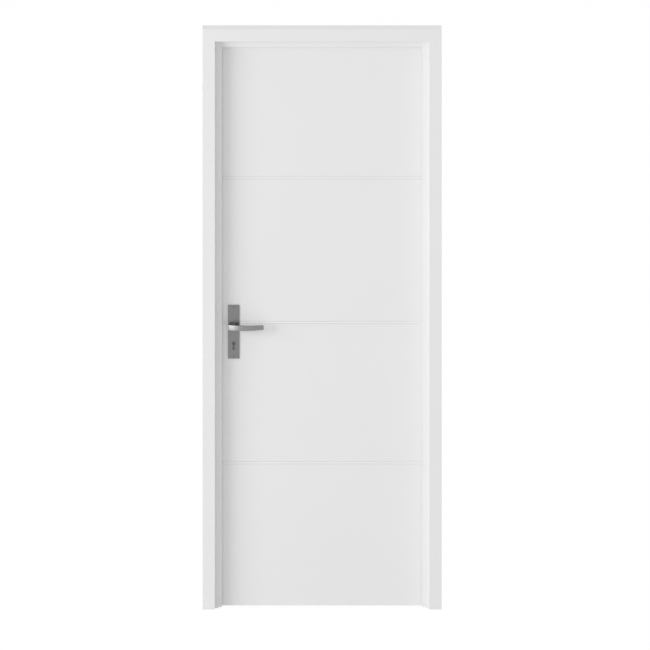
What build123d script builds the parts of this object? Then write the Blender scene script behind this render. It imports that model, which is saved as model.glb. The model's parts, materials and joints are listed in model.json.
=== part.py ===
"""Insulated single-leaf door in its frame, with plate handles, mortise lock and butt hinges.

Millimetres, +Z up. +Y points through the doorway, from the front face to the side the leaf opens to.
The origin is at floor level on the outer face of the hinge jamb, midway through the frame's depth,
so the whole door set lies on the -X side of the origin.
"""

import os

from build123d import *

# Leaf
leaf_width = 711.0
leaf_height = 1981.0
leaf_thickness = 40.0
skin_thickness = 5.0
stile_width = 95.0
rail_height = 90.0
leaf_edge_radius = 1.0

# Gaps around the leaf
hinge_gap = 5.0
lock_gap = 7.0
head_gap = 7.5
floor_gap = 7.0
stop_gap = 5.0

# Frame section
casing_width = 43.5
casing_depth = 31.0
casing_edge_radius = 0.6
jamb_width = 56.0
jamb_edge_radius = 1.5
stop_width = 12.0
stop_depth = 12.0
stop_floor_gap = 4.0
stop_edge_radius = 0.8

# Seal strip on the back of the stops
seal_inset = 1.0
seal_clearance = 0.4

# Grooves across the leaf, each with an inlaid strip
low_groove_height = 511.0
middle_groove_height = 1007.0
high_groove_height = 1519.0
groove_width = 8.9
groove_depth = 1.4
strip_width = 6.7
strip_recess = 0.2

# Anchor holes through the side jambs
anchor_radius = 4.0
anchor_low = 450.0
anchor_spacing = 1150.0

# Butt hinges
bottom_hinge_rise = 225.0
top_hinge_drop = 200.0
flap_height = 100.0
flap_reach = 30.0
flap_thickness = 2.0
knuckle_radius = 6.5
middle_knuckle_height = 34.0
knuckle_gap = 0.4
knuckle_relief = 0.5
axis_offset = 9.0
pin_radius = 3.5
pin_clearance = 0.05
pin_head_radius = 5.0
pin_head_height = 3.0

# Lock
backset = 46.0
spindle_height = 994.5
lock_case_depth = 82.0
lock_case_height = 170.0
lock_case_thickness = 18.0
lock_case_drop = 32.5
faceplate_width = 22.0
faceplate_height = 230.0
faceplate_thickness = 3.0
bolt_length = 30.0
bolt_thickness = 11.0
latch_height = 18.0
dead_bolt_height = 30.0
bolt_clearance = 0.2
strike_width = 24.0
strike_height = 170.0
strike_thickness = 2.0
strike_margin = 3.0
strike_pocket_depth = 16.0

# Lock cylinder, a round barrel over a narrower tail
cylinder_drop = 61.5
cylinder_radius = 7.0
cylinder_tail_width = 9.5
cylinder_tail_length = 23.0
cylinder_proud = 1.5
cylinder_clearance = 0.2
key_slot_width = 2.4
key_slot_length = 9.0
key_slot_depth = 6.0

# Handle plates
plate_width = 40.0
plate_height = 190.0
plate_thickness = 3.0
plate_drop = 19.5
plate_corner_radius = 1.5
plate_edge_radius = 0.6

# Levers
lever_reach = 106.3
lever_heel = 21.0
lever_heel_height = 19.5
lever_tip_height = 15.5
lever_depth = 13.0
lever_projection = 53.0
lever_sag = 21.0
lever_end_radius = 2.0
lever_edge_radius = 1.2
neck_radius = 8.0
neck_clearance = 0.05
neck_end_gap = 0.5
spindle_width = 8.0
spindle_socket_depth = 24.0
spindle_socket_clearance = 0.1
spindle_hole_radius = 8.5

# Planes and edges that follow from the sizes above
outer_width = 2 * jamb_width + hinge_gap + leaf_width + lock_gap
outer_height = floor_gap + leaf_height + head_gap + jamb_width
frame_depth = casing_depth + stop_depth + stop_gap + leaf_thickness
front = -frame_depth / 2
jamb_front = front + casing_depth
stop_back = jamb_front + stop_depth
leaf_front = stop_back + stop_gap
leaf_back = leaf_front + leaf_thickness
leaf_middle = (leaf_front + leaf_back) / 2
core_front = leaf_front + skin_thickness
core_back = leaf_back - skin_thickness
leaf_hinge_x = -jamb_width - hinge_gap
leaf_lock_x = leaf_hinge_x - leaf_width
lock_jamb_x = leaf_lock_x - lock_gap
leaf_top = floor_gap + leaf_height
head_z = leaf_top + head_gap
stop_head_z = head_z - stop_width
hinge_axis_x = -jamb_width - hinge_gap / 2
hinge_axis_y = leaf_back + axis_offset
bottom_hinge_z = floor_gap + bottom_hinge_rise
top_hinge_z = leaf_top - top_hinge_drop
hinge_heights = {
    "bottom": bottom_hinge_z,
    "middle": (bottom_hinge_z + top_hinge_z) / 2,
    "top": top_hinge_z,
}
groove_heights = (low_groove_height, middle_groove_height, high_groove_height)
spindle_x = leaf_lock_x + backset
plate_front = leaf_front - plate_thickness
plate_middle_z = spindle_height - plate_drop
lock_low = spindle_height - lock_case_drop - lock_case_height / 2
lock_high = lock_low + lock_case_height
lock_middle_z = (lock_low + lock_high) / 2
faceplate_back_x = leaf_lock_x + faceplate_thickness
cylinder_z = spindle_height - cylinder_drop
bolts = {
    "latch_bolt": (spindle_height, latch_height),
    "dead_bolt": (cylinder_z, dead_bolt_height),
}
spindle_axis = Axis((spindle_x, 0, spindle_height), (0, 1, 0))
leaf_middle_plane = Plane.XZ.offset(-leaf_middle)


def slab(low, high, mode=Mode.ADD):
    """Add or cut a rectangular block between two opposite corners."""
    size = [b - a for a, b in zip(low, high)]
    middle = [(a + b) / 2 for a, b in zip(low, high)]
    with Locations(tuple(middle)):
        Box(*size, mode=mode)


def upright(x, y, z, radius, height, mode=Mode.ADD):
    """Add or cut a round bar that stands on z."""
    with Locations((x, y, z + height / 2)):
        Cylinder(radius, height, mode=mode)


def cross_hole(x, z, radius):
    """Cut a round hole through the part along Y."""
    with Locations(Location((x, leaf_middle, z), (90, 0, 0))):
        Cylinder(radius, 2 * frame_depth, mode=Mode.SUBTRACT)


def cylinder_outline(grow):
    """Sketch the lock cylinder's section, a circle with a straight tail that ends in a half circle."""
    tail_radius = cylinder_tail_width / 2 + grow
    tail_low = cylinder_z - cylinder_tail_length + cylinder_tail_width / 2
    with Locations((spindle_x, cylinder_z)):
        Circle(cylinder_radius + grow)
    with Locations((spindle_x, (cylinder_z + tail_low) / 2)):
        Rectangle(2 * tail_radius, cylinder_z - tail_low)
    with Locations((spindle_x, tail_low)):
        Circle(tail_radius)


def cylinder_hole():
    """Cut the lock cylinder's section, with its clearance, through the part along Y."""
    with BuildSketch(leaf_middle_plane) as section:
        cylinder_outline(cylinder_clearance)
    extrude(section.sketch, amount=frame_depth, both=True, mode=Mode.SUBTRACT)


def anchor_holes(middle_x):
    """Cut the two anchor holes through a side jamb along X."""
    for z in (anchor_low, anchor_low + anchor_spacing):
        with Locations(Location((middle_x, leaf_middle, z), (0, 90, 0))):
            Cylinder(anchor_radius, 2 * jamb_width, mode=Mode.SUBTRACT)


def groove_bars(width, near_y, far_y, mode=Mode.ADD):
    """Add or cut one straight bar along each groove line, between two depths."""
    for z in groove_heights:
        slab(
            (leaf_lock_x, min(near_y, far_y), z - width / 2),
            (leaf_hinge_x, max(near_y, far_y), z + width / 2),
            mode,
        )


def flap_pockets(face_x, inward):
    """Cut the hinge flap recesses into an edge at face_x, as deep as a flap is thick."""
    edges = sorted((face_x, face_x + inward * flap_thickness))
    for z in hinge_heights.values():
        slab(
            (edges[0], leaf_back - flap_reach, z - flap_height / 2),
            (edges[1], leaf_back, z + flap_height / 2),
            Mode.SUBTRACT,
        )


def strike_block(mode=Mode.ADD):
    """Add the strike plate, or cut its recess into the lock jamb."""
    slab(
        (lock_jamb_x - strike_thickness, leaf_middle - strike_width / 2, lock_middle_z - strike_height / 2),
        (lock_jamb_x, leaf_middle + strike_width / 2, lock_middle_z + strike_height / 2),
        mode,
    )


def strike_openings(depth):
    """Cut the openings that the two bolts enter, from the lock jamb's face to the given depth."""
    half_y = bolt_thickness / 2 + strike_margin
    for z, height in bolts.values():
        half_z = height / 2 + strike_margin
        slab(
            (lock_jamb_x - depth, leaf_middle - half_y, z - half_z),
            (lock_jamb_x, leaf_middle + half_y, z + half_z),
            Mode.SUBTRACT,
        )


def faceplate_block(mode=Mode.ADD):
    """Add the lock's faceplate, or cut its recess into the leaf's edge."""
    slab(
        (leaf_lock_x, leaf_middle - faceplate_width / 2, lock_middle_z - faceplate_height / 2),
        (faceplate_back_x, leaf_middle + faceplate_width / 2, lock_middle_z + faceplate_height / 2),
        mode,
    )


def lock_case_block(mode=Mode.ADD):
    """Add the lock's case, or cut its mortise into the leaf's stile."""
    slab(
        (faceplate_back_x, leaf_middle - lock_case_thickness / 2, lock_low),
        (faceplate_back_x + lock_case_depth, leaf_middle + lock_case_thickness / 2, lock_high),
        mode,
    )


def bolt_block(z, height, grow, mode=Mode.ADD):
    """Add a bolt, or cut its slot with the given clearance around it."""
    half_y = bolt_thickness / 2 + grow
    half_z = height / 2 + grow
    slab(
        (leaf_lock_x, leaf_middle - half_y, z - half_z),
        (leaf_lock_x + bolt_length + grow, leaf_middle + half_y, z + half_z),
        mode,
    )


def bolt_slots():
    """Cut the slots that the two bolts slide in."""
    for z, height in bolts.values():
        bolt_block(z, height, bolt_clearance, Mode.SUBTRACT)


parts = {}

# Casings, mitred at the head
with BuildPart() as hinge_casing:
    with BuildSketch(Plane.XZ.offset(-front)):
        with BuildLine():
            Polyline(
                (0, 0),
                (0, outer_height),
                (-casing_width, outer_height - casing_width),
                (-casing_width, 0),
                close=True,
            )
        make_face()
    extrude(amount=-casing_depth)
    fillet(hinge_casing.edges().filter_by(Axis.Z).group_by(Axis.Y)[0], casing_edge_radius)
parts["hinge_casing"] = hinge_casing

with BuildPart() as lock_casing:
    mirror(hinge_casing.part, about=Plane.YZ.offset(-outer_width / 2))
parts["lock_casing"] = lock_casing

with BuildPart() as head_casing:
    with BuildSketch(Plane.XZ.offset(-front)):
        with BuildLine():
            Polyline(
                (0, outer_height),
                (-outer_width, outer_height),
                (casing_width - outer_width, outer_height - casing_width),
                (-casing_width, outer_height - casing_width),
                close=True,
            )
        make_face()
    extrude(amount=-casing_depth)
    fillet(head_casing.edges().filter_by(Axis.X).group_by(Axis.Y)[0], casing_edge_radius)
parts["head_casing"] = head_casing

# Jambs behind the casings, with the head between the two posts
with BuildPart() as hinge_jamb:
    slab((-jamb_width, jamb_front, 0), (0, leaf_back, outer_height))
    fillet(hinge_jamb.edges().filter_by(Axis.Z).group_by(Axis.Y)[-1], jamb_edge_radius)
    anchor_holes(-jamb_width / 2)
    flap_pockets(-jamb_width, 1)
parts["hinge_jamb"] = hinge_jamb

with BuildPart() as lock_jamb:
    slab((-outer_width, jamb_front, 0), (lock_jamb_x, leaf_back, outer_height))
    fillet(lock_jamb.edges().filter_by(Axis.Z).group_by(Axis.Y)[-1], jamb_edge_radius)
    anchor_holes(lock_jamb_x - jamb_width / 2)
    strike_block(Mode.SUBTRACT)
    strike_openings(strike_pocket_depth)
parts["lock_jamb"] = lock_jamb

with BuildPart() as head_jamb:
    slab((lock_jamb_x, jamb_front, head_z), (-jamb_width, leaf_back, outer_height))
    fillet(head_jamb.edges().filter_by(Axis.X).group_by(Axis.Y)[-1], jamb_edge_radius)
parts["head_jamb"] = head_jamb

# Stops on the jambs' inner faces, the side stops under the head stop
with BuildPart() as hinge_stop:
    slab((-jamb_width - stop_width, jamb_front, stop_floor_gap), (-jamb_width, stop_back, stop_head_z))
    front_edges = hinge_stop.edges().filter_by(Axis.Z).group_by(Axis.Y)[0]
    fillet(front_edges.sort_by(Axis.X)[0], stop_edge_radius)
parts["hinge_stop"] = hinge_stop

with BuildPart() as lock_stop:
    slab((lock_jamb_x, jamb_front, stop_floor_gap), (lock_jamb_x + stop_width, stop_back, stop_head_z))
    front_edges = lock_stop.edges().filter_by(Axis.Z).group_by(Axis.Y)[0]
    fillet(front_edges.sort_by(Axis.X)[-1], stop_edge_radius)
parts["lock_stop"] = lock_stop

with BuildPart() as head_stop:
    slab((lock_jamb_x, jamb_front, stop_head_z), (-jamb_width, stop_back, head_z))
    front_edges = head_stop.edges().filter_by(Axis.X).group_by(Axis.Y)[0]
    fillet(front_edges.sort_by(Axis.Z)[0], stop_edge_radius)
parts["head_stop"] = head_stop

# Seal strips on the backs of the stops, just short of the leaf's face
seal_back = leaf_front - seal_clearance
seal_head_low = stop_head_z + seal_inset
seal_head_high = head_z - seal_inset
with BuildPart() as hinge_seal:
    slab(
        (-jamb_width - stop_width + seal_inset, stop_back, floor_gap),
        (-jamb_width - seal_inset, seal_back, seal_head_low),
    )
parts["hinge_seal"] = hinge_seal

with BuildPart() as lock_seal:
    slab(
        (lock_jamb_x + seal_inset, stop_back, floor_gap),
        (lock_jamb_x + stop_width - seal_inset, seal_back, seal_head_low),
    )
parts["lock_seal"] = lock_seal

with BuildPart() as head_seal:
    slab(
        (lock_jamb_x + seal_inset, stop_back, seal_head_low),
        (-jamb_width - seal_inset, seal_back, seal_head_high),
    )
parts["head_seal"] = head_seal

# Strike plate, let into the lock jamb
with BuildPart() as strike_plate:
    strike_block()
    strike_openings(strike_thickness)
parts["strike_plate"] = strike_plate

# Leaf skins, stiles, rails and core
with BuildPart() as front_skin:
    slab((leaf_lock_x, leaf_front, floor_gap), (leaf_hinge_x, core_front, leaf_top))
    fillet(front_skin.faces().sort_by(Axis.Y)[0].edges(), leaf_edge_radius)
    groove_bars(groove_width, leaf_front, leaf_front + groove_depth, Mode.SUBTRACT)
    cross_hole(spindle_x, spindle_height, spindle_hole_radius)
    cylinder_hole()
parts["front_skin"] = front_skin

with BuildPart() as back_skin:
    slab((leaf_lock_x, core_back, floor_gap), (leaf_hinge_x, leaf_back, leaf_top))
    fillet(back_skin.faces().sort_by(Axis.Y)[-1].edges(), leaf_edge_radius)
    groove_bars(groove_width, leaf_back, leaf_back - groove_depth, Mode.SUBTRACT)
    cross_hole(spindle_x, spindle_height, spindle_hole_radius)
    cylinder_hole()
    flap_pockets(leaf_hinge_x, -1)
parts["back_skin"] = back_skin

with BuildPart() as lock_stile:
    slab((leaf_lock_x, core_front, floor_gap), (leaf_lock_x + stile_width, core_back, leaf_top))
    cross_hole(spindle_x, spindle_height, spindle_hole_radius)
    cylinder_hole()
    faceplate_block(Mode.SUBTRACT)
    lock_case_block(Mode.SUBTRACT)
parts["lock_stile"] = lock_stile

with BuildPart() as hinge_stile:
    slab((leaf_hinge_x - stile_width, core_front, floor_gap), (leaf_hinge_x, core_back, leaf_top))
    flap_pockets(leaf_hinge_x, -1)
parts["hinge_stile"] = hinge_stile

with BuildPart() as top_rail:
    slab(
        (leaf_lock_x + stile_width, core_front, leaf_top - rail_height),
        (leaf_hinge_x - stile_width, core_back, leaf_top),
    )
parts["top_rail"] = top_rail

with BuildPart() as bottom_rail:
    slab(
        (leaf_lock_x + stile_width, core_front, floor_gap),
        (leaf_hinge_x - stile_width, core_back, floor_gap + rail_height),
    )
parts["bottom_rail"] = bottom_rail

with BuildPart() as insulation_core:
    slab(
        (leaf_lock_x + stile_width, core_front, floor_gap + rail_height),
        (leaf_hinge_x - stile_width, core_back, leaf_top - rail_height),
    )
parts["insulation_core"] = insulation_core

# Mortise lock: case, faceplate and the two bolts, drawn back flush with the faceplate
with BuildPart() as lock_case:
    lock_case_block()
    cross_hole(spindle_x, spindle_height, spindle_hole_radius)
    cylinder_hole()
    bolt_slots()
parts["lock_case"] = lock_case

with BuildPart() as lock_faceplate:
    faceplate_block()
    bolt_slots()
parts["lock_faceplate"] = lock_faceplate

for name, (z, height) in bolts.items():
    with BuildPart() as bolt:
        bolt_block(z, height, 0)
    parts[name] = bolt

# Lock cylinder through the leaf, with a key slot in each end
cylinder_half_length = leaf_thickness / 2 + plate_thickness + cylinder_proud
with BuildPart() as lock_cylinder:
    with BuildSketch(leaf_middle_plane):
        cylinder_outline(0)
    extrude(amount=cylinder_half_length, both=True)
    for end in (-1, 1):
        slot_y = sorted((end * cylinder_half_length, end * (cylinder_half_length - key_slot_depth)))
        slab(
            (spindle_x - key_slot_width / 2, leaf_middle + slot_y[0], cylinder_z - key_slot_length / 2),
            (spindle_x + key_slot_width / 2, leaf_middle + slot_y[1], cylinder_z + key_slot_length / 2),
            Mode.SUBTRACT,
        )
parts["lock_cylinder"] = lock_cylinder

# Handle plates on both faces
with BuildPart() as front_plate:
    with BuildSketch(Plane.XZ.offset(-leaf_front)):
        with Locations((spindle_x, plate_middle_z)):
            RectangleRounded(plate_width, plate_height, plate_corner_radius)
    extrude(amount=plate_thickness)
    fillet(front_plate.faces().sort_by(Axis.Y)[0].edges(), plate_edge_radius)
    cross_hole(spindle_x, spindle_height, neck_radius + neck_clearance)
    cylinder_hole()
parts["front_plate"] = front_plate

with BuildPart() as back_plate:
    mirror(front_plate.part, about=leaf_middle_plane)
parts["back_plate"] = back_plate

# Strips inlaid in the grooves, cut short where the spindle or a hinge flap crosses them
with BuildPart() as front_strips:
    groove_bars(strip_width, leaf_front + strip_recess, leaf_front + groove_depth)
    cross_hole(spindle_x, spindle_height, spindle_hole_radius)
parts["front_strips"] = front_strips

with BuildPart() as back_strips:
    mirror(front_strips.part, about=leaf_middle_plane)
    flap_pockets(leaf_hinge_x, -1)
parts["back_strips"] = back_strips

# Levers: a bar bowed away from the leaf that tapers to its tip, on a round neck that turns in the plate
lever_front = plate_front - lever_projection
lever_end_front = lever_front + lever_sag
lever_half_length = (lever_reach + lever_heel) / 2
lever_middle_x = spindle_x - lever_heel + lever_half_length
bow_radius = (lever_half_length**2 + lever_sag**2) / (2 * lever_sag)
bow_centre_y = lever_front + bow_radius
inner_share = (bow_radius - lever_depth) / bow_radius
inner_half_length = lever_half_length * inner_share
inner_end_y = bow_centre_y + (lever_end_front - bow_centre_y) * inner_share
lever_slope = (lever_heel_height - lever_tip_height) / (4 * lever_half_length)
heel_end_x = lever_middle_x - lever_half_length - lever_end_radius
tip_end_x = lever_middle_x + lever_half_length + lever_end_radius
heel_half_height = lever_heel_height / 2 + lever_slope * lever_end_radius
tip_half_height = lever_tip_height / 2 - lever_slope * lever_end_radius
neck_start = lever_front + (lever_depth + lever_sag) / 2
neck_end = leaf_front - neck_end_gap
socket_width = spindle_width + 2 * spindle_socket_clearance
socket_bottom = neck_end - spindle_socket_depth
with BuildPart() as front_lever:
    with BuildSketch(Plane.XY.offset(spindle_height)):
        with BuildLine():
            outer = ThreePointArc(
                (lever_middle_x - lever_half_length, lever_end_front),
                (lever_middle_x, lever_front),
                (lever_middle_x + lever_half_length, lever_end_front),
            )
            inner = ThreePointArc(
                (lever_middle_x - inner_half_length, inner_end_y),
                (lever_middle_x, lever_front + lever_depth),
                (lever_middle_x + inner_half_length, inner_end_y),
            )
            Line(outer @ 0, inner @ 0)
            Line(outer @ 1, inner @ 1)
        make_face()
    extrude(amount=lever_heel_height, both=True)
    with BuildSketch(Plane.XZ):
        with BuildLine():
            Polyline(
                (heel_end_x, spindle_height - heel_half_height),
                (tip_end_x, spindle_height - tip_half_height),
                (tip_end_x, spindle_height + tip_half_height),
                (heel_end_x, spindle_height + heel_half_height),
                close=True,
            )
        make_face()
    extrude(amount=outer_width, both=True, mode=Mode.INTERSECT)
    fillet(front_lever.edges().filter_by(Axis.Z), lever_end_radius)
    broad_faces = front_lever.faces().sort_by(Axis.Z)
    fillet(broad_faces[0].edges() + broad_faces[-1].edges(), lever_edge_radius)
    with Locations(Location((spindle_x, (neck_start + neck_end) / 2, spindle_height), (90, 0, 0))):
        Cylinder(neck_radius, neck_end - neck_start)
    slab(
        (spindle_x - socket_width / 2, socket_bottom, spindle_height - socket_width / 2),
        (spindle_x + socket_width / 2, neck_end, spindle_height + socket_width / 2),
        Mode.SUBTRACT,
    )
parts["front_lever"] = front_lever

with BuildPart() as back_lever:
    mirror(front_lever.part, about=leaf_middle_plane)
parts["back_lever"] = back_lever

spindle_end = socket_bottom + spindle_socket_clearance
with BuildPart() as spindle:
    slab(
        (spindle_x - spindle_width / 2, spindle_end, spindle_height - spindle_width / 2),
        (spindle_x + spindle_width / 2, 2 * leaf_middle - spindle_end, spindle_height + spindle_width / 2),
    )
parts["spindle"] = spindle

# Butt hinges: a flap let into the jamb, a flap let into the leaf's edge, and the pin
outer_knuckle_height = (flap_height - middle_knuckle_height) / 2
flap_front = leaf_back - flap_reach
for place, hinge_z in hinge_heights.items():
    flap_low = hinge_z - flap_height / 2
    flap_high = hinge_z + flap_height / 2
    knuckle_low = hinge_z - middle_knuckle_height / 2
    knuckle_high = hinge_z + middle_knuckle_height / 2
    with BuildPart() as frame_flap:
        slab((-jamb_width, flap_front, flap_low), (flap_thickness - jamb_width, hinge_axis_y, flap_high))
        upright(hinge_axis_x, hinge_axis_y, flap_low, knuckle_radius, flap_height)
        upright(
            hinge_axis_x,
            hinge_axis_y,
            knuckle_low - knuckle_gap,
            knuckle_radius + knuckle_relief,
            middle_knuckle_height + 2 * knuckle_gap,
            Mode.SUBTRACT,
        )
        upright(
            hinge_axis_x, hinge_axis_y, flap_low, pin_radius + pin_clearance, flap_height, Mode.SUBTRACT
        )
    parts[f"{place}_hinge_frame_flap"] = frame_flap

    with BuildPart() as leaf_flap:
        slab((leaf_hinge_x - flap_thickness, flap_front, flap_low), (leaf_hinge_x, hinge_axis_y, flap_high))
        upright(hinge_axis_x, hinge_axis_y, knuckle_low, knuckle_radius, middle_knuckle_height)
        for low in (flap_low, knuckle_high):
            upright(
                hinge_axis_x,
                hinge_axis_y,
                low,
                knuckle_radius + knuckle_relief,
                outer_knuckle_height,
                Mode.SUBTRACT,
            )
        upright(
            hinge_axis_x, hinge_axis_y, flap_low, pin_radius + pin_clearance, flap_height, Mode.SUBTRACT
        )
    parts[f"{place}_hinge_leaf_flap"] = leaf_flap

    with BuildPart() as hinge_pin:
        upright(hinge_axis_x, hinge_axis_y, flap_low, pin_radius, flap_height)
        for low in (flap_low - pin_head_height, flap_high):
            upright(hinge_axis_x, hinge_axis_y, low, pin_head_radius, pin_head_height)
    parts[f"{place}_hinge_pin"] = hinge_pin

os.makedirs("parts", exist_ok=True)
for name, builder in parts.items():
    builder.part.label = name
    export_step(builder.part, f"parts/{name}.step")
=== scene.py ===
import json
import math

import bmesh
import bpy
from bpy.props import FloatProperty, FloatVectorProperty, IntProperty, PointerProperty
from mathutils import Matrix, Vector


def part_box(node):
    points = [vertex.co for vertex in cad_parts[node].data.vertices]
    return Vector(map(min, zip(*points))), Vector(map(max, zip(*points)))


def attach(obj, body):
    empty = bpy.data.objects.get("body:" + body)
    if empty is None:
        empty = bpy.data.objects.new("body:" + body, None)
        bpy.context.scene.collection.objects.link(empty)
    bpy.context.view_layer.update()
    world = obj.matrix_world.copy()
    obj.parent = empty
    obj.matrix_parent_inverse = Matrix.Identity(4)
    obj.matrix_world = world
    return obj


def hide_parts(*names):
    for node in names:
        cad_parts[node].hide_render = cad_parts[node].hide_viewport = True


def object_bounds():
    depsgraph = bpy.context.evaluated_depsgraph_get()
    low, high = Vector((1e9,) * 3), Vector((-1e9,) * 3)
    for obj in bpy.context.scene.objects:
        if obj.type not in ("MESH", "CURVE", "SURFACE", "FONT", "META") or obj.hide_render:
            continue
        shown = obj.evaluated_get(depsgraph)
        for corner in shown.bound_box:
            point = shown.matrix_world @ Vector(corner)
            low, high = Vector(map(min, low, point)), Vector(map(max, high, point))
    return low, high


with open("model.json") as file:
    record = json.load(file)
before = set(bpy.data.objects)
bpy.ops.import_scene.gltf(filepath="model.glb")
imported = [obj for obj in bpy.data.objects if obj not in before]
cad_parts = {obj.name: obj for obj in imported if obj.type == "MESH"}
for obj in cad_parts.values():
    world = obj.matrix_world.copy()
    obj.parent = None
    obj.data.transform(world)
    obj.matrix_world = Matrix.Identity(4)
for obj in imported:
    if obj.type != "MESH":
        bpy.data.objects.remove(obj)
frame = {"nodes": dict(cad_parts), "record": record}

cad_low, cad_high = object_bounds()
slot_of = {row["node"]: row["material_slot"] for row in frame["record"]["subparts"]}

bl_info = {
    "name": "Insulated Door",
    "version": (1, 0, 0),
    "blender": (4, 5, 0),
    "location": "3D View > Sidebar > Door",
    "description": "Finishes an insulated door leaf, its frame, its handles and its seals",
    "category": "Object",
}

# Brushing lines run along the axis with the small number
along_x = (30.0, 2600.0, 2600.0)
along_z = (2600.0, 2600.0, 30.0)
along_steel = (1900.0, 1900.0, 35.0)
along_bolts = (1900.0, 35.0, 1900.0)
along_cylinder = (1500.0, 60.0, 1500.0)
all_round = (900.0, 900.0, 900.0)
smudge_scale = 45.0
brush_depth = 0.00003
brush_strength = 0.15
brush_contrast = 0.06
brush_wear = 0.04

# Sprayed coats and foam: how far tone and roughness stray, and the fine relief
peel_strength = 0.35
coat_contrast = 0.01
coat_wear = 0.05
foam_cells = 700.0
foam_roughness = 0.9
foam_depth = 0.0004
foam_strength = 0.6

# Screws of a hinge flap: height from its middle, and distance from its front edge
flap_screws = ((-0.037, 0.009), (-0.0125, 0.021), (0.0125, 0.009), (0.037, 0.021))
hinge_places = ("bottom", "middle", "top")

# Facets of the round pieces that are made here, and the angles above which edges stay sharp
round_sides = 64
bulb_steps = 20
corner_steps = 8
end_steps = 10
bar_steps = 64
head_segments = 32
head_rings = 16
lever_crease = math.radians(40.0)
rim_crease = math.radians(35.0)
head_crease = math.radians(32.0)

# Studio: soft panels, floor, how narrow the bright parts of the surroundings are, and the camera's aim
key_distance = 11.0
key_size = (5.9, 4.9)
key_height = 2.45
back_turn = math.pi - 0.9
back_distance = 5.0
back_size = (3.4, 4.4)
back_height = 2.2
floor_reach = 14.0
floor_diffuse = 0.30
floor_glow = 0.42
seen_floor_diffuse = 0.09
seen_floor_glow = 0.93
level_spread = 2.0
overhead_spread = 5.0
overhead_gain = 1.6
camera_target = Vector((-0.4072, 0.0, 0.9989))
camera_distance = 6.0


def colour(name, description, default):
    """A colour property with linear values."""
    return FloatVectorProperty(
        name=name, description=description, subtype="COLOR", size=3, min=0.0, max=1.0, default=default
    )


def length(name, description, default):
    """A length property in metres."""
    return FloatProperty(
        name=name, description=description, subtype="DISTANCE", unit="LENGTH", min=0.0, default=default,
        precision=5,
    )


def share(name, description, default):
    """A plain number from 0 to 1."""
    return FloatProperty(
        name=name, description=description, subtype="FACTOR", min=0.0, max=1.0, default=default
    )


class DoorFinish(bpy.types.PropertyGroup):
    """Colours and gloss of the door's finishes."""

    lacquer_colour: colour("Lacquer", "White lacquer on the leaf and the frame", (0.88, 0.88, 0.88))
    lacquer_roughness: share("Lacquer roughness", "Mean roughness of the satin lacquer", 0.42)
    # Groove colour: a darker grey inside the leaf's grooves, painted shade that stands in for the shade
    # falling in them
    groove_shade_colour: colour("Groove", "Thinner coat inside the leaf's grooves", (0.70, 0.70, 0.70))
    strip_colour: colour("Strip", "White coat of the inlaid strips", (0.93, 0.93, 0.93))
    lever_colour: colour("Lever", "Satin grey metal of the levers", (0.28, 0.28, 0.28))
    plate_colour: colour("Plate", "Satin grey metal of the handle plates", (0.23, 0.23, 0.23))
    lever_roughness: share("Lever roughness", "Mean roughness of the levers", 0.41)
    plate_roughness: share("Plate roughness", "Mean roughness of the handle plates", 0.25)
    plate_screw_colour: colour("Plate screws", "Darker metal of the plates' screws", (0.17, 0.17, 0.17))
    cylinder_colour: colour("Cylinder", "Dark nickel of the lock cylinder", (0.14, 0.14, 0.14))
    steel_colour: colour("Steel", "Plated steel of hinges, strike and lock edge", (0.55, 0.55, 0.55))
    bolt_colour: colour("Bolts", "Dark plated steel of the bolts and screws", (0.33, 0.33, 0.33))
    seal_colour: colour("Seal", "White of the soft seals", (0.82, 0.82, 0.82))
    foam_colour: colour("Foam", "Rigid foam of the core", (0.85, 0.80, 0.62))


class DoorSizes(bpy.types.PropertyGroup):
    """Sizes of the pieces that are made here."""

    low_groove: length("Low groove", "Height of the lowest groove's middle", 0.511)
    middle_groove: length("Middle groove", "Height of the middle groove's middle", 1.007)
    high_groove: length("High groove", "Height of the highest groove's middle", 1.519)
    groove_reach: length("Groove reach", "From a groove's middle to just past its edge", 0.0047)
    # Depth below the skins' faces from which the painted groove shade starts
    groove_shade_skip: length("Groove skip", "Depth at which the thinner coat starts", 0.0003)
    lever_sag: length("Lever sag", "How far the lever's ends curve back towards the leaf", 0.021)
    lever_depth: length("Lever depth", "Thickness of the lever's bar, front to back", 0.013)
    lever_tip_height: length("Lever tip", "Height of the bar at its tip", 0.0155)
    lever_end_radius: length("Lever end", "Rounding of the bar's ends, seen from above", 0.0020)
    lever_edge_radius: length("Lever edge", "Rounding of the bar's long edges", 0.0012)
    neck_radius: length("Neck radius", "Radius of the neck that turns in the plate", 0.008)
    seal_base: length("Seal base", "Thickness of the seal's flat foot", 0.0014)
    seal_bulb: length("Seal bulb", "Width of the seal's hollow bulb", 0.0072)
    plug_radius: length("Plug radius", "Outer radius of the rim round the keyway", 0.0055)
    plug_rim: length("Plug rim", "Width of the rim round the keyway", 0.0007)
    plug_rise: length("Plug rise", "How far that rim stands proud", 0.00035)
    plate_screw_radius: length("Plate screw", "Head radius of the handle plates' screws", 0.0030)
    hinge_screw_radius: length("Hinge screw", "Head radius of the hinge flaps' screws", 0.0034)
    edge_screw_radius: length("Edge screw", "Head radius of the strike and faceplate screws", 0.0032)
    screw_margin: length("Screw margin", "From a screw's centre to the nearer end of its plate", 0.0080)
    screw_seed: IntProperty(name="Screw seed", description="Seed of the screw heads' turns", default=4)


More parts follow.
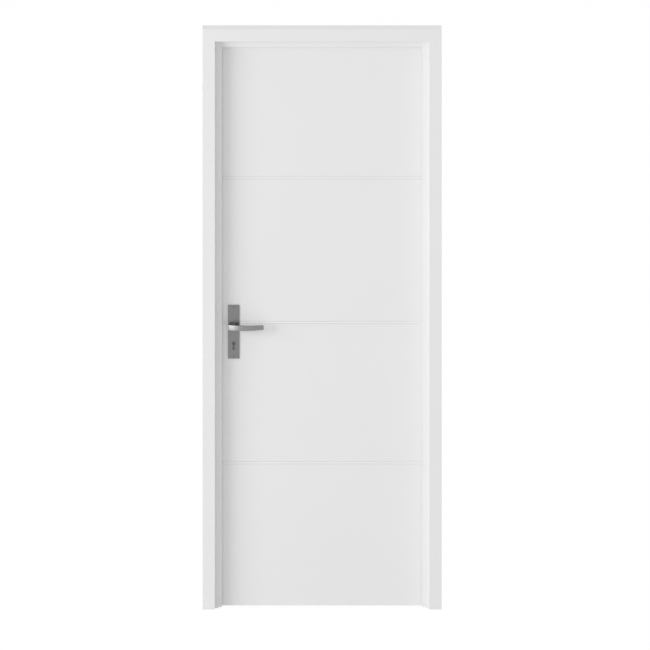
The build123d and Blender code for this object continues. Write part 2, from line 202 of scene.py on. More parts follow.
class DoorStage(bpy.types.PropertyGroup):
    """Camera and light of the stage."""

    view_height: length("View height", "Height that the camera's frame takes in", 2.2698)
    view_elevation: FloatProperty(
        name="Elevation", description="How far the camera looks down", subtype="ANGLE", unit="ROTATION",
        default=math.radians(9.0),
    )
    key_angle: FloatProperty(
        name="Key angle", description="Turn of the soft panel from straight ahead of the door",
        subtype="ANGLE", unit="ROTATION", default=math.radians(60.0),
    )
    key_power: FloatProperty(
        name="Key power", description="Power of the soft panel beside the door", subtype="POWER",
        unit="POWER", min=0.0, default=635.0,
    )
    back_power: FloatProperty(
        name="Back power", description="Power of the soft panel behind the door", subtype="POWER",
        unit="POWER", min=0.0, default=28.0,
    )
    side_light: FloatProperty(
        name="Sides", description="Brightness of the surroundings to either side", min=0.0, default=0.15
    )
    front_light: FloatProperty(
        name="Front", description="Brightness that is added ahead of the door", min=0.0, default=0.69
    )
    back_light: FloatProperty(
        name="Back", description="Brightness that is added behind the door", min=0.0, default=1.1
    )
    top_light: FloatProperty(
        name="Overhead", description="Brightness that is added overhead", min=0.0, default=0.76
    )


def middle(node):
    """Centre of a node's box."""
    low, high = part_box(node)
    return (Vector(low) + Vector(high)) / 2


def grey(level):
    """A plain grey with full alpha."""
    return (level, level, level, 1.0)


def feed(links, socket, value):
    """Links a socket into another, or sets a number."""
    if isinstance(value, bpy.types.NodeSocket):
        links.new(value, socket)
    else:
        socket.default_value = value


def calculate(nodes, links, operation, *values, clamp=False):
    """The result of a math node whose inputs are numbers or sockets."""
    node = nodes.new("ShaderNodeMath")
    node.operation = operation
    node.use_clamp = clamp
    for socket, value in zip(node.inputs, values):
        feed(links, socket, value)
    return node.outputs[0]


def combine(nodes, links, *values):
    """A vector from three numbers or sockets."""
    joined = nodes.new("ShaderNodeCombineXYZ")
    for socket, value in zip(joined.inputs, values):
        feed(links, socket, value)
    return joined.outputs[0]


def add_group_sockets(tree, inputs, outputs):
    """Gives a node group its named sockets."""
    for name, kind in inputs:
        tree.interface.new_socket(name, in_out="INPUT", socket_type=kind)
    for name in outputs:
        tree.interface.new_socket(name, in_out="OUTPUT", socket_type="NodeSocketFloat")


def sprayed_coat():
    """The group of a sprayed coat: fine peel as a height, and broad clouds as a mask."""
    found = bpy.data.node_groups.get("sprayed_coat")
    if found:
        return found
    tree = bpy.data.node_groups.new("sprayed_coat", "ShaderNodeTree")
    inputs = (
        ("Vector", "NodeSocketVector"),
        ("Peel Scale", "NodeSocketFloat"),
        ("Cloud Scale", "NodeSocketFloat"),
    )
    add_group_sockets(tree, inputs, ("Peel", "Cloud"))
    start = tree.nodes.new("NodeGroupInput")
    end = tree.nodes.new("NodeGroupOutput")
    for output, scale, detail in (("Peel", "Peel Scale", 2.0), ("Cloud", "Cloud Scale", 3.0)):
        noise = tree.nodes.new("ShaderNodeTexNoise")
        noise.inputs["Detail"].default_value = detail
        tree.links.new(start.outputs["Vector"], noise.inputs["Vector"])
        tree.links.new(start.outputs[scale], noise.inputs["Scale"])
        tree.links.new(noise.outputs["Fac"], end.inputs[output])
    return tree


def brushed_lines():
    """The group of a brushed metal: fine lines along the stretched axis, and soft smudges."""
    found = bpy.data.node_groups.get("brushed_lines")
    if found:
        return found
    tree = bpy.data.node_groups.new("brushed_lines", "ShaderNodeTree")
    inputs = (
        ("Stretched", "NodeSocketVector"),
        ("Vector", "NodeSocketVector"),
        ("Smudge Scale", "NodeSocketFloat"),
    )
    add_group_sockets(tree, inputs, ("Lines", "Smudge"))
    start = tree.nodes.new("NodeGroupInput")
    end = tree.nodes.new("NodeGroupOutput")
    lines = tree.nodes.new("ShaderNodeTexNoise")
    lines.inputs["Scale"].default_value = 1.0
    lines.inputs["Detail"].default_value = 5.0
    lines.inputs["Roughness"].default_value = 0.65
    tree.links.new(start.outputs["Stretched"], lines.inputs["Vector"])
    tree.links.new(lines.outputs["Fac"], end.inputs["Lines"])
    smudge = tree.nodes.new("ShaderNodeTexNoise")
    smudge.inputs["Detail"].default_value = 4.0
    tree.links.new(start.outputs["Vector"], smudge.inputs["Vector"])
    tree.links.new(start.outputs["Smudge Scale"], smudge.inputs["Scale"])
    tree.links.new(smudge.outputs["Fac"], end.inputs["Smudge"])
    return tree


def start_material(name):
    """A new node material with its shader and its Object coordinates."""
    material = bpy.data.materials.new(name)
    material.use_nodes = True
    nodes = material.node_tree.nodes
    place = nodes.new("ShaderNodeTexCoord")
    return material, nodes, material.node_tree.links, nodes["Principled BSDF"], place.outputs["Object"]


def spread(nodes, links, mask, low, high):
    """A value that runs from low to high as the middle of a mask does."""
    ramp = nodes.new("ShaderNodeMapRange")
    ramp.inputs["From Min"].default_value = 0.3
    ramp.inputs["From Max"].default_value = 0.7
    ramp.inputs["To Min"].default_value = low
    ramp.inputs["To Max"].default_value = high
    links.new(mask, ramp.inputs["Value"])
    return ramp.outputs["Result"]


def two_tones(nodes, links, mask, dark, light):
    """A colour between two tones, by a mask."""
    mix = nodes.new("ShaderNodeMix")
    mix.data_type = "RGBA"
    mix.inputs[6].default_value = (*dark, 1.0)
    mix.inputs[7].default_value = (*light, 1.0)
    links.new(mask, mix.inputs[0])
    return mix.outputs[2]


def relief(nodes, links, shader, height, depth, strength):
    """Fine relief on the shader's normal."""
    bump = nodes.new("ShaderNodeBump")
    bump.inputs["Distance"].default_value = depth
    bump.inputs["Strength"].default_value = strength
    links.new(height, bump.inputs["Height"])
    links.new(bump.outputs["Normal"], shader.inputs["Normal"])


def shade(tone, factor):
    """A colour made darker or lighter."""
    return tuple(min(1.0, part * factor) for part in tone)


def coated(name, tone, roughness, peel_scale, cloud_scale, depth):
    """A sprayed or moulded matt surface: even colour with faint clouds, and fine peel."""
    material, nodes, links, shader, place = start_material(name)
    group = nodes.new("ShaderNodeGroup")
    group.node_tree = sprayed_coat()
    group.inputs["Peel Scale"].default_value = peel_scale
    group.inputs["Cloud Scale"].default_value = cloud_scale
    links.new(place, group.inputs["Vector"])
    cloud = group.outputs["Cloud"]
    dark, light = shade(tone, 1.0 - coat_contrast), shade(tone, 1.0 + coat_contrast)
    coat = two_tones(nodes, links, cloud, dark, light)
    links.new(coat, shader.inputs["Base Color"])
    rough = spread(nodes, links, cloud, roughness - coat_wear, roughness + coat_wear)
    links.new(rough, shader.inputs["Roughness"])
    relief(nodes, links, shader, group.outputs["Peel"], depth, peel_strength)
    return material


def brushed(name, tone, roughness, stretch):
    """A brushed metal whose lines run along the axis with the smallest stretch."""
    material, nodes, links, shader, place = start_material(name)
    mapping = nodes.new("ShaderNodeMapping")
    mapping.inputs["Scale"].default_value = stretch
    links.new(place, mapping.inputs["Vector"])
    group = nodes.new("ShaderNodeGroup")
    group.node_tree = brushed_lines()
    group.inputs["Smudge Scale"].default_value = smudge_scale
    links.new(mapping.outputs["Vector"], group.inputs["Stretched"])
    links.new(place, group.inputs["Vector"])
    shader.inputs["Metallic"].default_value = 1.0
    lines = group.outputs["Lines"]
    dark, light = shade(tone, 1.0 - brush_contrast), shade(tone, 1.0 + brush_contrast)
    metal = two_tones(nodes, links, lines, dark, light)
    links.new(metal, shader.inputs["Base Color"])
    smudge = group.outputs["Smudge"]
    rough = spread(nodes, links, smudge, roughness - brush_wear, roughness + brush_wear)
    links.new(rough, shader.inputs["Roughness"])
    relief(nodes, links, shader, lines, brush_depth, brush_strength)
    return material


def foamed(name, tone):
    """A rigid foam with small cells."""
    material, nodes, links, shader, place = start_material(name)
    cells = nodes.new("ShaderNodeTexVoronoi")
    cells.inputs["Scale"].default_value = foam_cells
    links.new(place, cells.inputs["Vector"])
    distance = cells.outputs["Distance"]
    foam = two_tones(nodes, links, distance, shade(tone, 0.9), shade(tone, 1.03))
    links.new(foam, shader.inputs["Base Color"])
    shader.inputs["Roughness"].default_value = foam_roughness
    relief(nodes, links, shader, distance, foam_depth, foam_strength)
    return material


def dress(nodes, material):
    """Gives CAD nodes a material."""
    for node in nodes:
        thing = frame["nodes"][node]
        thing.data.materials.clear()
        thing.data.materials.append(material)


def nodes_of(slot):
    """The CAD nodes of one material slot."""
    return [node for node in slot_of if slot_of[node] == slot]


def finish_mesh(name, shape, material, body, replaced=()):
    """Turns a bmesh into a finished piece that rides on a body."""
    bmesh.ops.recalc_face_normals(shape, faces=shape.faces[:])
    mesh = bpy.data.meshes.new(name)
    shape.to_mesh(mesh)
    shape.free()
    mesh.materials.append(material)
    piece = bpy.data.objects.new(name, mesh)
    bpy.context.scene.collection.objects.link(piece)
    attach(piece, body)
    if replaced:
        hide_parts(*replaced)
    return piece


def skin_rings(shape, rings, closed_ends=True):
    """Joins rings of points, each with as many points, with faces, and closes the two ends."""
    layers = [[shape.verts.new(point) for point in ring] for ring in rings]
    count = len(layers[0])
    for near, far in zip(layers, layers[1:]):
        for index in range(count):
            following = (index + 1) % count
            shape.faces.new((near[index], near[following], far[following], far[index]))
    if closed_ends:
        shape.faces.new(layers[0])
        shape.faces.new(layers[-1])
    return layers


class DOOR_OT_lacquer(bpy.types.Operator):
    """Lacquer the leaf's skins, stiles and rails and the whole frame"""

    bl_idname = "door.lacquer"
    bl_label = "Lacquered Timber"

    def execute(self, context):
        finish = context.scene.door_finish
        dress(nodes_of("white_paint"), self.lacquer("white_lacquer", finish))
        # The leaf's skins get their own lacquer, with painted shade in the grooves
        groove_shaded_lacquer = self.lacquer("groove_shaded_lacquer", finish)
        self.paint_groove_shade(groove_shaded_lacquer, finish.groove_shade_colour, context.scene.door_sizes)
        dress(("front_skin", "back_skin"), groove_shaded_lacquer)
        return {"FINISHED"}

    def lacquer(self, name, finish):
        """A white lacquer with the shared gloss and peel."""
        return coated(
            name, finish.lacquer_colour, finish.lacquer_roughness,
            peel_scale=380.0, cloud_scale=2.6, depth=0.00006,
        )

    def paint_groove_shade(self, material, tone, sizes):
        """Mixes a darker colour in where the leaf's skins are cut back by a groove, as painted shade in
        the grooves.
        """
        nodes, links = material.node_tree.nodes, material.node_tree.links
        place = nodes.new("ShaderNodeTexCoord")
        parts = nodes.new("ShaderNodeSeparateXYZ")
        links.new(place.outputs["Object"], parts.inputs[0])
        low_y, high_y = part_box("front_skin")[0][1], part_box("back_skin")[1][1]
        half_depth = (high_y - low_y) / 2 - sizes.groove_shade_skip
        inside = calculate(nodes, links, "COMPARE", parts.outputs["Y"], (low_y + high_y) / 2, half_depth)
        grooves = 0.0
        for height in (sizes.low_groove, sizes.middle_groove, sizes.high_groove):
            row = calculate(nodes, links, "COMPARE", parts.outputs["Z"], height, sizes.groove_reach)
            grooves = calculate(nodes, links, "MAXIMUM", row, grooves)
        shader = nodes["Principled BSDF"]
        # Painted shade: the groove colour replaces the lacquer's colour inside the grooves
        mix = nodes.new("ShaderNodeMix")
        mix.data_type = "RGBA"
        mix.inputs[7].default_value = (*tone, 1.0)
        links.new(calculate(nodes, links, "MULTIPLY", inside, grooves), mix.inputs[0])
        links.new(shader.inputs["Base Color"].links[0].from_socket, mix.inputs[6])
        links.new(mix.outputs[2], shader.inputs["Base Color"])


class DOOR_OT_strips(bpy.types.Operator):
    """Coat the strips in the leaf's grooves, and finish the foam between the skins"""

    bl_idname = "door.strips"
    bl_label = "Strips and Core"

    def execute(self, context):
        finish = context.scene.door_finish
        strip_coat = coated(
            "strip_coat", finish.strip_colour, roughness=0.38,
            peel_scale=900.0, cloud_scale=6.0, depth=0.00002,
        )
        dress(nodes_of("inlay_strip"), strip_coat)
        dress(nodes_of("foam_core"), foamed("foam_board", finish.foam_colour))
        return {"FINISHED"}


class DOOR_OT_seals(bpy.types.Operator):
    """Make the soft seals behind the stops, a flat foot with a hollow bulb"""

    bl_idname = "door.seals"
    bl_label = "Seals"

    def execute(self, context):
        finish = context.scene.door_finish
        rubber = coated(
            "seal_rubber", finish.seal_colour, roughness=0.58,
            peel_scale=1500.0, cloud_scale=12.0, depth=0.00003,
        )
        for node in nodes_of("seal_rubber"):
            self.make_seal(node, context.scene.door_sizes, rubber)
        return {"FINISHED"}

    def make_seal(self, node, sizes, rubber):
        low, high = (Vector(corner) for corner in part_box(node))
        runs_up = high.z - low.z > high.x - low.x
        width = high.x - low.x if runs_up else high.z - low.z
        height = high.y - low.y
        bulb = sizes.seal_bulb / 2
        rise = height - sizes.seal_base
        outline = [(-width / 2, 0.0), (width / 2, 0.0), (width / 2, sizes.seal_base * 0.6)]
        for step in range(bulb_steps + 1):
            turn = math.pi * step / bulb_steps
            outline.append((bulb * math.cos(turn), sizes.seal_base + rise * math.sin(turn)))
        outline.append((-width / 2, sizes.seal_base * 0.6))
        centre = (low + high) / 2
        rings = []
        for end in (low, high):
            if runs_up:
                rings.append([(centre.x + across, low.y + up, end.z) for across, up in outline])
            else:
                rings.append([(end.x, low.y + up, centre.z + across) for across, up in outline])
        shape = bmesh.new()
        skin_rings(shape, rings)
        piece = finish_mesh(node + "_bulb", shape, rubber, "frame", (node,))
        for face in piece.data.polygons:
            face.use_smooth = len(face.vertices) == 4


class DOOR_OT_levers(bpy.types.Operator):
    """Make the two bowed levers on their round necks"""

    bl_idname = "door.levers"
    bl_label = "Levers"

    def execute(self, context):
        finish = context.scene.door_finish
        metal = brushed("lever_metal", finish.lever_colour, finish.lever_roughness, along_x)
        self.make_lever("front_lever", -1.0, context.scene.door_sizes, metal)
        self.make_lever("back_lever", 1.0, context.scene.door_sizes, metal)
        return {"FINISHED"}

    def make_lever(self, node, outward, sizes, metal):
        low, high = (Vector(corner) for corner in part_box(node))
        spindle = middle("spindle")
        tip_y = low.y if outward < 0 else high.y
        root_y = high.y if outward < 0 else low.y
        heel_half = (high.z - low.z) / 2
        tip_half = sizes.lever_tip_height / 2
        half_depth = sizes.lever_depth / 2
        half_length = (high.x - low.x) / 2
        middle_x = (low.x + high.x) / 2
        bow = (half_length**2 + sizes.lever_sag**2) / (2 * sizes.lever_sag)
        line_radius = bow - half_depth
        half_turn = math.asin(half_length / bow)
        arc_length = 2 * half_turn * line_radius
        end, edge = sizes.lever_end_radius, sizes.lever_edge_radius
        shape = bmesh.new()
        rings = []
        for along in self.stations(arc_length, end):
            nearest = min(along, arc_length - along)
            inset = end - math.sqrt(max(0.0, end**2 - (end - nearest) ** 2)) if nearest < end else 0.0
            fall = edge - math.sqrt(max(0.0, edge**2 - (edge - nearest) ** 2)) if nearest < edge else 0.0
            turn = along / line_radius - half_turn
            half_height = heel_half + (tip_half - heel_half) * along / arc_length - fall
            ring = []
            for out, up in self.section(half_depth - inset, half_height, min(edge, half_depth - inset)):
                radius = line_radius + out
                ring.append((
                    middle_x + radius * math.sin(turn),
                    tip_y - outward * (bow - radius * math.cos(turn)),
                    spindle.z + up,
                ))
            rings.append(ring)
        skin_rings(shape, rings)
        neck_y = tip_y - outward * (sizes.lever_depth + sizes.lever_sag) / 2
        self.add_neck(shape, spindle, neck_y, root_y, sizes.neck_radius)
        piece = finish_mesh(node + "_bar", shape, metal, "lever", (node,))
        piece.data.shade_smooth()
        piece.data.set_sharp_from_angle(angle=lever_crease)

    def stations(self, arc_length, end):
        """Places along the bar, close together where its ends are rounded."""
        turns = [math.pi / 2 * step / end_steps for step in range(end_steps + 1)]
        near = [end * (1.0 - math.cos(turn)) for turn in turns]
        span = arc_length - 2 * end
        inner = [end + span * step / bar_steps for step in range(1, bar_steps)]
        return near + inner + [arc_length - place for place in reversed(near)]

    def section(self, half_depth, half_height, edge):
        """A rounded rectangle, outward and upward from the bar's middle line."""
        points = []
        for corner, (side, up) in enumerate(((1, 1), (-1, 1), (-1, -1), (1, -1))):
            for step in range(corner_steps + 1):
                turn = math.pi / 2 * (corner + step / corner_steps)
                points.append((
                    side * (half_depth - edge) + edge * math.cos(turn),
                    up * (half_height - edge) + edge * math.sin(turn),
                ))
        return points

    def add_neck(self, shape, spindle, start_y, end_y, radius):
        """The round neck from inside the bar to inside the plate."""
        turns = [2 * math.pi * side / round_sides for side in range(round_sides)]
        rings = []
        for y in (start_y, end_y):
            rings.append([
                (spindle.x + radius * math.cos(turn), y, spindle.z + radius * math.sin(turn))
                for turn in turns
            ])
        skin_rings(shape, rings)


class DOOR_OT_plates(bpy.types.Operator):
    """Brush the long plates behind the levers, top to bottom"""

    bl_idname = "door.plates"
    bl_label = "Handle Plates"

    def execute(self, context):
        finish = context.scene.door_finish
        metal = brushed("plate_metal", finish.plate_colour, finish.plate_roughness, along_z)
        dress(("front_plate", "back_plate"), metal)
        return {"FINISHED"}


class DOOR_OT_cylinder(bpy.types.Operator):
    """Finish the lock cylinder and make the rim round each keyway"""

    bl_idname = "door.cylinder"
    bl_label = "Lock Cylinder"

    def execute(self, context):
        finish = context.scene.door_finish
        nickel = brushed("dark_nickel", finish.cylinder_colour, roughness=0.34, stretch=along_cylinder)
        dress(nodes_of("cylinder_brass"), nickel)
        low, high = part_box("lock_cylinder")
        shape = bmesh.new()
        self.add_rim(shape, low[1], -1.0, context.scene.door_sizes)
        self.add_rim(shape, high[1], 1.0, context.scene.door_sizes)
        piece = finish_mesh("plug_rims", shape, nickel, "leaf")
        piece.data.shade_smooth()
        piece.data.set_sharp_from_angle(angle=rim_crease)
        return {"FINISHED"}

    def add_rim(self, shape, face_y, outward, sizes):
        """A thin ring that stands proud of the cylinder's end, closed inside the cylinder."""
        low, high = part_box("lock_cylinder")
        centre_x = (low[0] + high[0]) / 2
        centre_z = high[2] - (high[0] - low[0]) / 2
        outer = sizes.plug_radius
        inner = outer - sizes.plug_rim
        rise = sizes.plug_rise
        ease = rise * 0.4
        profile = (
            (outer, -rise),
            (outer, rise - ease),
            (outer - ease, rise),
            (inner + ease, rise),
            (inner, rise - ease),
            (inner, -rise),
        )
        rings = []
        for side in range(round_sides):
            turn = 2 * math.pi * side / round_sides
            across, up = math.cos(turn), math.sin(turn)
            rings.append([
                (centre_x + radius * across, face_y + outward * height, centre_z + radius * up)
                for radius, height in profile
            ])
        layers = skin_rings(shape, rings, closed_ends=False)
        first, last = layers[0], layers[-1]
        count = len(profile)
        for index in range(count):
            following = (index + 1) % count
            shape.faces.new((last[index], last[following], first[following], first[index]))


class DOOR_OT_hardware(bpy.types.Operator):
    """Finish the hinges, the strike plate and the lock in the leaf's edge"""

    bl_idname = "door.hardware"
    bl_label = "Hinges and Lock"

    def execute(self, context):
        finish = context.scene.door_finish
        steel = brushed("plated_steel", finish.steel_colour, roughness=0.34, stretch=along_steel)
        dress(nodes_of("plated_steel"), steel)
        dark_steel = brushed("dark_steel", finish.bolt_colour, roughness=0.30, stretch=along_bolts)
        dress(("latch_bolt", "dead_bolt"), dark_steel)
        return {"FINISHED"}


class DOOR_OT_screws(bpy.types.Operator):
    """Set the screw heads of plates, hinges, strike and faceplate"""

    bl_idname = "door.screws"
    bl_label = "Screws"

    def execute(self, context):
        sizes = context.scene.door_sizes
        finish = context.scene.door_finish
        tree = self.head_tree()
        dark = bpy.data.materials["dark_steel"]
        plain = brushed("screw_metal", finish.plate_screw_colour, roughness=0.30, stretch=all_round)
        leaf_heads, frame_heads, plate_heads = [], [], []
        for place in hinge_places:
            self.add_flap(frame_heads, place + "_hinge_frame_flap", -1.0, sizes)
            self.add_flap(leaf_heads, place + "_hinge_leaf_flap", 1.0, sizes)
        self.add_ends(frame_heads, "strike_plate", (1, 0, 0), sizes.edge_screw_radius, sizes)
        self.add_ends(leaf_heads, "lock_faceplate", (-1, 0, 0), sizes.edge_screw_radius, sizes)
        self.add_ends(plate_heads, "front_plate", (0, -1, 0), sizes.plate_screw_radius, sizes)
        self.add_ends(plate_heads, "back_plate", (0, 1, 0), sizes.plate_screw_radius, sizes)
        seed = sizes.screw_seed
        self.set_heads("frame_screws", frame_heads, tree, dark, "frame", "plated_steel", seed)
        self.set_heads("leaf_screws", leaf_heads, tree, dark, "leaf", "plated_steel", seed)
        self.set_heads("plate_screws", plate_heads, tree, plain, "leaf", "handle_metal", seed)
        return {"FINISHED"}

    def add_flap(self, heads, node, facing, sizes):
        """Four heads in a zigzag on a hinge flap."""
        low, high = (Vector(corner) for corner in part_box(node))
        leaf_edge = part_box("hinge_stile")[1][0]
        jamb_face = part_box("hinge_jamb")[0][0]
        face_x = leaf_edge if facing > 0 else jamb_face
        centre_z = (low.z + high.z) / 2
        for up, along in flap_screws:
            place = (face_x, low.y + along, centre_z + up)
            heads.append((place, (facing, 0, 0), sizes.hinge_screw_radius))

    def add_ends(self, heads, node, aim, radius, sizes):
        """One head near each end of an upright plate."""
        low, high = (Vector(corner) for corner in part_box(node))
        place = (low + high) / 2
        for axis in range(2):
            if aim[axis]:
                place[axis] = high[axis] if aim[axis] > 0 else low[axis]
        for z in (low.z + sizes.screw_margin, high.z - sizes.screw_margin):
            heads.append(((place.x, place.y, z), aim, radius))

    def head_tree(self):
        """A low domed head with a cross recess, set on each point, turned to its aim."""
        tree = bpy.data.node_groups.new("screw_heads", "GeometryNodeTree")
        face = tree.interface
        face.new_socket("Geometry", in_out="INPUT", socket_type="NodeSocketGeometry")
        for name, value in (("Rise", 0.17), ("Recess Length", 1.1), ("Recess Width", 0.26)):
            socket = face.new_socket(name, in_out="INPUT", socket_type="NodeSocketFloat")
            socket.default_value = value
        face.new_socket("Seed", in_out="INPUT", socket_type="NodeSocketInt")
        face.new_socket("Metal", in_out="INPUT", socket_type="NodeSocketMaterial")
        face.new_socket("Geometry", in_out="OUTPUT", socket_type="NodeSocketGeometry")
        nodes, links = tree.nodes, tree.links
        start = nodes.new("NodeGroupInput")
        end = nodes.new("NodeGroupOutput")
        long, wide, rise = (start.outputs[name] for name in ("Recess Length", "Recess Width", "Rise"))
        dome = nodes.new("GeometryNodeMeshUVSphere")
        dome.inputs["Segments"].default_value = head_segments
        dome.inputs["Rings"].default_value = head_rings
        flat = nodes.new("GeometryNodeTransform")
        links.new(dome.outputs["Mesh"], flat.inputs["Geometry"])
        links.new(combine(nodes, links, 1.0, 1.0, rise), flat.inputs["Scale"])
        cut = nodes.new("GeometryNodeMeshBoolean")
        cut.operation = "DIFFERENCE"
        links.new(flat.outputs["Geometry"], cut.inputs["Mesh 1"])
        for x, y in ((long, wide), (wide, long)):
            arm = nodes.new("GeometryNodeMeshCube")
            links.new(combine(nodes, links, x, y, rise), arm.inputs["Size"])
            lifted = nodes.new("GeometryNodeTransform")
            links.new(arm.outputs["Mesh"], lifted.inputs["Geometry"])
            links.new(combine(nodes, links, 0.0, 0.0, rise), lifted.inputs["Translation"])
            links.new(lifted.outputs["Geometry"], cut.inputs["Mesh 2"])
        aim = nodes.new("GeometryNodeInputNamedAttribute")
        aim.data_type = "FLOAT_VECTOR"
        aim.inputs["Name"].default_value = "aim"
        radius = nodes.new("GeometryNodeInputNamedAttribute")
        radius.data_type = "FLOAT"
        radius.inputs["Name"].default_value = "head_radius"
        turned = nodes.new("FunctionNodeAlignRotationToVector")
        turned.axis = "Z"
        links.new(aim.outputs["Attribute"], turned.inputs["Vector"])
        chance = nodes.new("FunctionNodeRandomValue")
        chance.data_type = "FLOAT"
        for socket in chance.inputs:
            if socket.name == "Max" and socket.type == "VALUE" and socket.enabled:
                socket.default_value = math.pi / 2
        links.new(start.outputs["Seed"], chance.inputs["Seed"])
        spun = nodes.new("FunctionNodeAxisAngleToRotation")
        spun.inputs["Axis"].default_value = (0.0, 0.0, 1.0)
        chosen = next(out for out in chance.outputs if out.enabled)
        links.new(chosen, spun.inputs["Angle"])
        rotation = nodes.new("FunctionNodeRotateRotation")
        rotation.rotation_space = "LOCAL"
        links.new(turned.outputs["Rotation"], rotation.inputs["Rotation"])
        links.new(spun.outputs["Rotation"], rotation.inputs["Rotate By"])
        placed = nodes.new("GeometryNodeInstanceOnPoints")
        links.new(start.outputs["Geometry"], placed.inputs["Points"])
        links.new(cut.outputs["Mesh"], placed.inputs["Instance"])
        links.new(rotation.outputs["Rotation"], placed.inputs["Rotation"])
        links.new(radius.outputs["Attribute"], placed.inputs["Scale"])
        real = nodes.new("GeometryNodeRealizeInstances")
        links.new(placed.outputs["Instances"], real.inputs["Geometry"])
        metal = nodes.new("GeometryNodeSetMaterial")
        links.new(real.outputs["Geometry"], metal.inputs["Geometry"])
        links.new(start.outputs["Metal"], metal.inputs["Material"])
        links.new(metal.outputs["Geometry"], end.inputs["Geometry"])
        return tree

    def set_heads(self, name, heads, tree, material, body, slot, seed):
        """Turns a list of heads into one plain mesh that rides on a body."""
        points = bpy.data.meshes.new(name + "_points")
        points.from_pydata([place for place, aim, radius in heads], [], [])
        points.attributes.new("aim", "FLOAT_VECTOR", "POINT")
        points.attributes.new("head_radius", "FLOAT", "POINT")
        for index, (place, aim, radius) in enumerate(heads):
            points.attributes["aim"].data[index].vector = aim
            points.attributes["head_radius"].data[index].value = radius
        piece = bpy.data.objects.new(name, points)
        bpy.context.scene.collection.objects.link(piece)
        modifier = piece.modifiers.new("heads", "NODES")
        modifier.node_group = tree
        items = [item for item in tree.interface.items_tree if item.in_out == "INPUT"]
        sockets = {item.name: item.identifier for item in items}
        modifier[sockets["Seed"]] = seed
        modifier[sockets["Metal"]] = material
        ready = piece.evaluated_get(bpy.context.evaluated_depsgraph_get())
        mesh = bpy.data.meshes.new_from_object(ready)
        if not mesh.polygons:
            raise RuntimeError(name + " has no faces")
        piece.modifiers.remove(modifier)
        piece.data = mesh
        mesh.name = name
        bpy.data.meshes.remove(points)
        mesh.shade_smooth()
        mesh.set_sharp_from_angle(angle=head_crease)
        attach(piece, body)


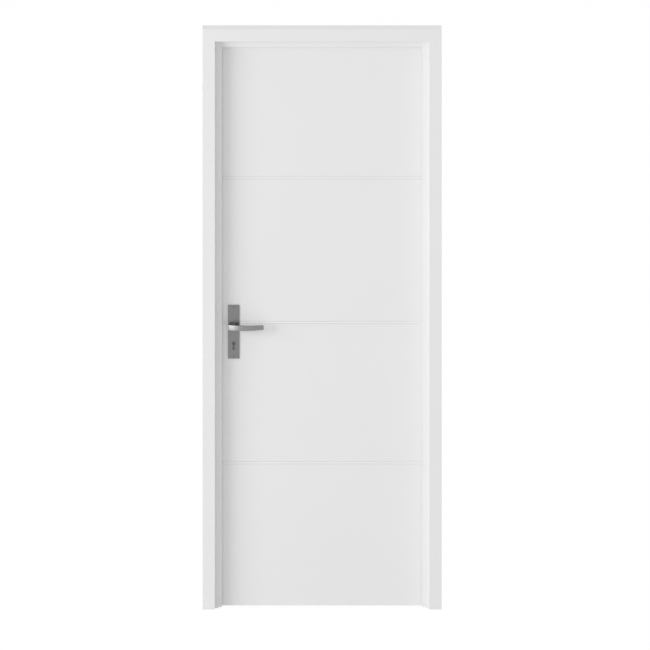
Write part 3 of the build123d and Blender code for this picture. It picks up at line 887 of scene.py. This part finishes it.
class DOOR_OT_stage(bpy.types.Operator):
    """Set the floor, the surroundings, the soft panels and the camera"""

    bl_idname = "door.stage"
    bl_label = "Stage"

    def execute(self, context):
        stage = context.scene.door_stage
        centre = (Vector(cad_low) + Vector(cad_high)) / 2
        self.make_floor()
        self.make_world(context.scene, stage)
        self.make_panel(
            "key_panel", centre, -stage.key_angle, key_distance, key_size, key_height, stage.key_power
        )
        self.make_panel(
            "back_panel", centre, back_turn, back_distance, back_size, back_height, stage.back_power
        )
        self.make_camera(context.scene, stage)
        context.scene.view_settings.view_transform = "Standard"
        return {"FINISHED"}

    def seen_rays(self, nodes, links):
        """One where a ray comes from the camera, a reflection or glass."""
        path = nodes.new("ShaderNodeLightPath")
        total = path.outputs["Is Camera Ray"]
        for name in ("Is Glossy Ray", "Is Transmission Ray"):
            total = calculate(nodes, links, "MAXIMUM", total, path.outputs[name])
        return total

    def add_glow(self, nodes, links, diffuse, glow):
        """A matt shader that also shines a little."""
        matt = nodes.new("ShaderNodeBsdfDiffuse")
        matt.inputs["Color"].default_value = grey(diffuse)
        shine = nodes.new("ShaderNodeEmission")
        shine.inputs["Color"].default_value = grey(glow)
        both = nodes.new("ShaderNodeAddShader")
        links.new(matt.outputs[0], both.inputs[0])
        links.new(shine.outputs[0], both.inputs[1])
        return both.outputs[0]

    def make_floor(self):
        """A wide pale floor that looks white and keeps a faint shadow."""
        shape = bmesh.new()
        for x, y in ((-1, -1), (1, -1), (1, 1), (-1, 1)):
            shape.verts.new((x * floor_reach, y * floor_reach, 0.0))
        shape.faces.new(shape.verts)
        mesh = bpy.data.meshes.new("studio_floor")
        shape.to_mesh(mesh)
        shape.free()
        floor = bpy.data.objects.new("studio_floor", mesh)
        bpy.context.scene.collection.objects.link(floor)
        material = bpy.data.materials.new("studio_floor")
        material.use_nodes = True
        nodes, links = material.node_tree.nodes, material.node_tree.links
        nodes.remove(nodes["Principled BSDF"])
        mix = nodes.new("ShaderNodeMixShader")
        links.new(self.seen_rays(nodes, links), mix.inputs[0])
        links.new(self.add_glow(nodes, links, floor_diffuse, floor_glow), mix.inputs[1])
        links.new(self.add_glow(nodes, links, seen_floor_diffuse, seen_floor_glow), mix.inputs[2])
        links.new(mix.outputs[0], nodes["Material Output"].inputs["Surface"])
        mesh.materials.append(material)

    def make_world(self, scene, stage):
        """Soft surroundings, brightest ahead, behind and overhead, that look white."""
        world = bpy.data.worlds.new("studio")
        world.use_nodes = True
        scene.world = world
        nodes, links = world.node_tree.nodes, world.node_tree.links
        place = nodes.new("ShaderNodeTexCoord")
        parts = nodes.new("ShaderNodeSeparateXYZ")
        links.new(place.outputs["Generated"], parts.inputs[0])
        lobes = (
            ("Y", -1.0, level_spread, stage.front_light),
            ("Y", 1.0, level_spread, stage.back_light),
            ("Z", 1.0, overhead_spread, stage.top_light * overhead_gain),
        )
        total = stage.side_light
        for axis, sign, power, amount in lobes:
            toward = calculate(nodes, links, "MULTIPLY", parts.outputs[axis], sign, clamp=True)
            curve = calculate(nodes, links, "POWER", toward, power)
            lobe = calculate(nodes, links, "MULTIPLY", curve, amount)
            total = calculate(nodes, links, "ADD", total, lobe)
        light = nodes["Background"]
        links.new(total, light.inputs["Strength"])
        light.inputs["Color"].default_value = grey(1.0)
        white = nodes.new("ShaderNodeBackground")
        white.inputs["Color"].default_value = grey(1.0)
        mix = nodes.new("ShaderNodeMixShader")
        links.new(self.seen_rays(nodes, links), mix.inputs[0])
        links.new(light.outputs[0], mix.inputs[1])
        links.new(white.outputs[0], mix.inputs[2])
        links.new(mix.outputs[0], nodes["World Output"].inputs["Surface"])

    def make_panel(self, name, centre, turn, distance, size, height, power):
        """A soft panel that faces the door; turn is about the vertical, from straight ahead."""
        light = bpy.data.lights.new(name, "AREA")
        light.shape = "RECTANGLE"
        light.size, light.size_y = size
        light.energy = power
        panel = bpy.data.objects.new(name, light)
        bpy.context.scene.collection.objects.link(panel)
        panel.location = (
            centre.x + distance * math.sin(turn),
            centre.y - distance * math.cos(turn),
            height,
        )
        facing = Vector((centre.x, centre.y, height)) - panel.location
        panel.rotation_mode = "QUATERNION"
        panel.rotation_quaternion = facing.to_track_quat("-Z", "Y")
        panel.visible_camera = False

    def make_camera(self, scene, stage):
        """A long-lens view from straight ahead and a little above."""
        data = bpy.data.cameras.new("photo_camera")
        data.type = "ORTHO"
        data.ortho_scale = stage.view_height
        camera = bpy.data.objects.new("photo_camera", data)
        scene.collection.objects.link(camera)
        tilt = stage.view_elevation
        backward = Vector((0.0, -math.cos(tilt), math.sin(tilt)))
        camera.location = camera_target + backward * camera_distance
        camera.rotation_euler = (math.pi / 2 - tilt, 0.0, 0.0)
        scene.camera = camera


operators = (
    DOOR_OT_lacquer,
    DOOR_OT_strips,
    DOOR_OT_seals,
    DOOR_OT_levers,
    DOOR_OT_plates,
    DOOR_OT_cylinder,
    DOOR_OT_hardware,
    DOOR_OT_screws,
    DOOR_OT_stage,
)


class DOOR_PT_pieces(bpy.types.Panel):
    """The door's pieces and finishes"""

    bl_idname = "DOOR_PT_pieces"
    bl_label = "Insulated Door"
    bl_space_type = "VIEW_3D"
    bl_region_type = "UI"
    bl_category = "Door"

    def draw(self, context):
        for operator in operators:
            self.layout.operator(operator.bl_idname)
        for group in (context.scene.door_finish, context.scene.door_sizes, context.scene.door_stage):
            box = self.layout.box()
            for name in group.bl_rna.properties.keys():
                if name not in ("rna_type", "name"):
                    box.prop(group, name)


classes = (DoorFinish, DoorSizes, DoorStage, *operators, DOOR_PT_pieces)


def register():
    for item in classes:
        bpy.utils.register_class(item)
    bpy.types.Scene.door_finish = PointerProperty(type=DoorFinish)
    bpy.types.Scene.door_sizes = PointerProperty(type=DoorSizes)
    bpy.types.Scene.door_stage = PointerProperty(type=DoorStage)


def unregister():
    del bpy.types.Scene.door_stage
    del bpy.types.Scene.door_sizes
    del bpy.types.Scene.door_finish
    for item in reversed(classes):
        bpy.utils.unregister_class(item)


def main():
    register()
    bpy.ops.door.lacquer()
    bpy.ops.door.strips()
    bpy.ops.door.seals()
    bpy.ops.door.levers()
    bpy.ops.door.plates()
    bpy.ops.door.cylinder()
    bpy.ops.door.hardware()
    bpy.ops.door.screws()
    bpy.ops.door.stage()


if __name__ == "__main__":
    main()
